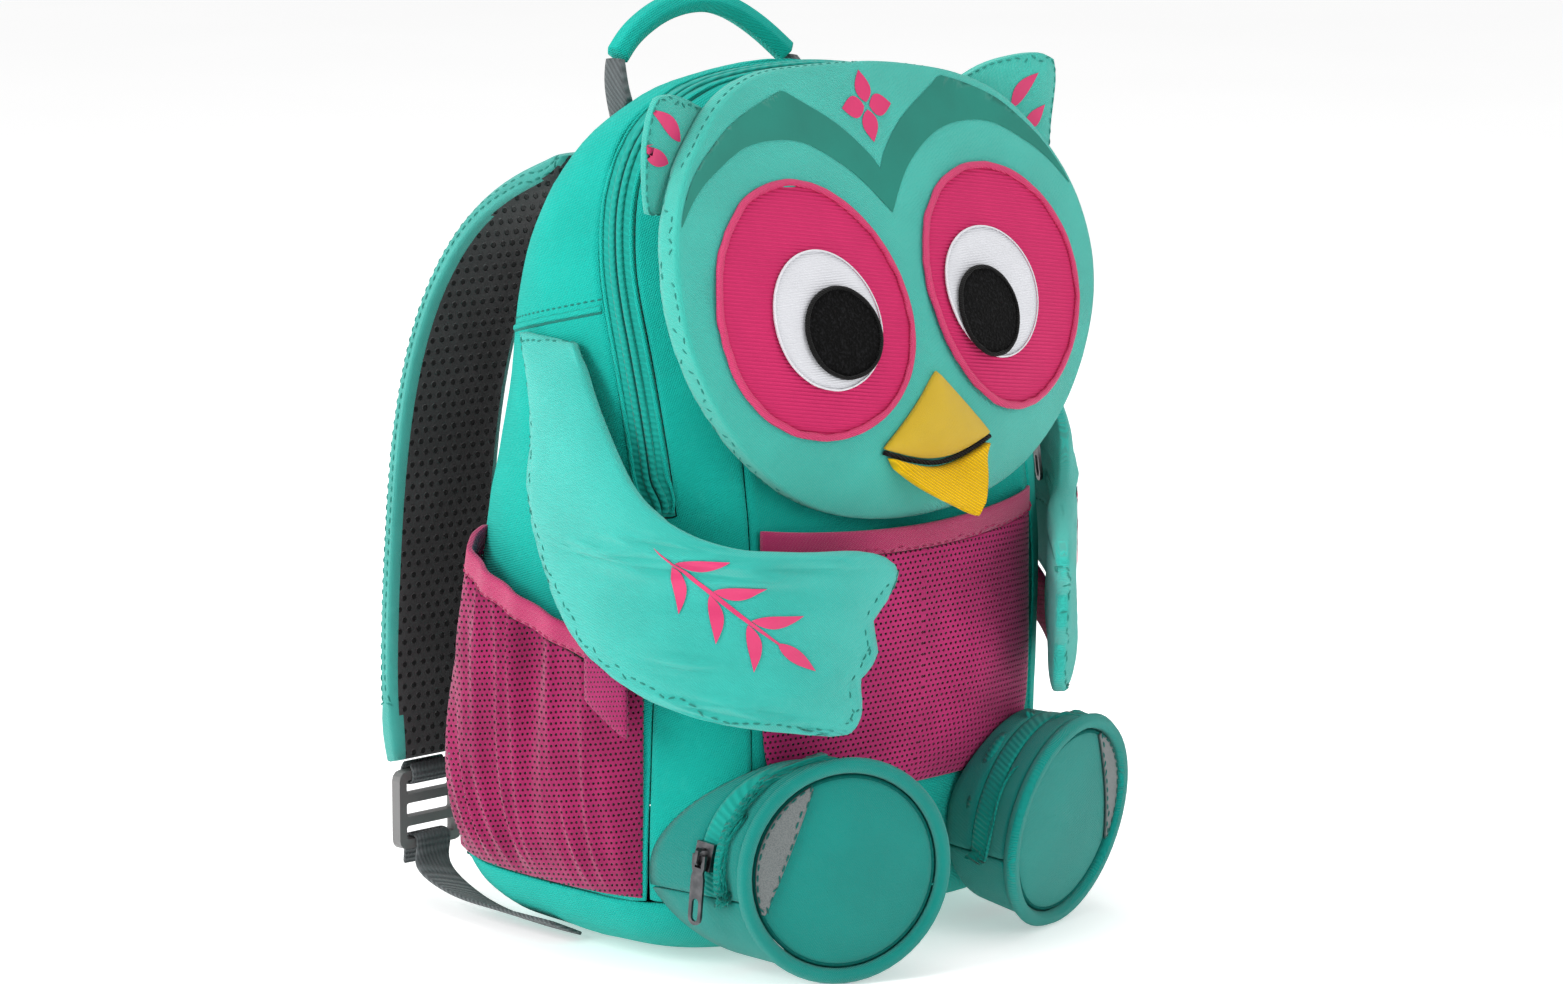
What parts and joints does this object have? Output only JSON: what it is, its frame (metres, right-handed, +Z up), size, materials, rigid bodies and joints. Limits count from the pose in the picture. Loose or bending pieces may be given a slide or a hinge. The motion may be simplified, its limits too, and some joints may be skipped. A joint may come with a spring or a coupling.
{
  "type": "kids animal backpack",
  "caption": "Soft owl-shaped child's backpack with a stuffed face, wings, zipped feet, mesh pockets, padded straps and a top handle.",
  "frame": {"origin": "on the floor under the middle of the bag's depth and width", "axes": "+Z up, -Y out of the owl's face, +X to the owl's left hand, the right of the picture"},
  "size_m": [0.2284, 0.2194, 0.31],
  "materials": {
    "beak_cloth": "padded knit",
    "body_cloth": "woven polyester, matt",
    "dark_piping": "overlock thread",
    "eye_patch": "satin-stitched twill",
    "eye_white": "smooth cloth",
    "face_cloth": "woven polyester, matt",
    "foot_cloth": "woven polyester, matt",
    "handle_cloth": "piped sleeve",
    "lock_plastic": "moulded acetal",
    "pink_band": "elastic binding",
    "pocket_mesh": "stretch mesh, matt",
    "pupil": "short pile",
    "reflective_cloth": "reflective cloth",
    "spacer_mesh": "padded air mesh, matt",
    "strap_cloth": "padded woven polyester",
    "tab_pile": "hook-and-loop pile",
    "webbing": "ribbed webbing",
    "wing_cloth": "padded woven polyester",
    "zip_metal": "gunmetal plating",
    "zip_tape": "knitted tape with coil"
  },
  "bodies": {
    "bag": {"gusset_front": "body_cloth", "gusset_rear": "body_cloth", "front_panel": "body_cloth", "base_panel": "body_cloth", "back_panel": "spacer_mesh", "main_zip": "zip_tape", "front_pocket": "pocket_mesh", "front_pocket_band": "pink_band", "side_pocket_left": "pocket_mesh", "side_pocket_right": "pocket_mesh", "side_band_left": "pink_band", "side_band_right": "pink_band", "face_pad": "face_cloth", "ear_left": "face_cloth", "ear_right": "face_cloth", "eye_patch_left": "eye_patch", "eye_patch_right": "eye_patch", "eye_white_left": "eye_white", "eye_white_right": "eye_white", "pupil_left": "pupil", "pupil_right": "pupil", "beak_upper": "beak_cloth", "beak_lower": "beak_cloth", "mouth_piping": "dark_piping", "wing_left": "wing_cloth", "wing_right": "wing_cloth", "wing_tab_left": "tab_pile", "wing_tab_right": "tab_pile", "foot_sole_left": "foot_cloth", "foot_sole_right": "foot_cloth", "foot_band_left": "foot_cloth", "foot_band_right": "foot_cloth", "foot_heel_left": "foot_cloth", "foot_heel_right": "foot_cloth", "foot_disc_left": "foot_cloth", "foot_disc_right": "foot_cloth", "foot_piping_left": "foot_cloth", "foot_piping_right": "foot_cloth", "foot_zip_left": "zip_tape", "foot_zip_right": "zip_tape", "foot_patch_left": "reflective_cloth", "foot_patch_right": "reflective_cloth", "foot_slider_left": "zip_metal", "foot_slider_right": "zip_metal", "main_slider": "zip_metal", "shoulder_strap_left": "strap_cloth", "shoulder_strap_right": "strap_cloth", "ladder_lock_left": "lock_plastic", "ladder_lock_right": "lock_plastic", "buckle_loop_left": "webbing", "buckle_loop_right": "webbing", "lower_webbing_left": "webbing", "lower_webbing_right": "webbing", "handle_end_left": "webbing", "handle_end_right": "webbing", "top_handle": "handle_cloth"},
    "puller_left": {"foot_puller_left": "zip_metal"},
    "puller_right": {"foot_puller_right": "zip_metal"}
  },
  "joints": [
    {"name": "foot_puller_left_swing", "type": "hinge", "parent": "bag", "child": "puller_left", "pos_m": [-0.09007, -0.06161, 0.04374], "axis": [-0.0893, 0.9908, 0.1014], "range_deg": [-4, 120]},
    {"name": "foot_puller_right_swing", "type": "hinge", "parent": "bag", "child": "puller_right", "pos_m": [0.09186, -0.06839, 0.04367], "axis": [0.0108, -0.9771, -0.2126], "range_deg": [-4, 120]}
  ]
}
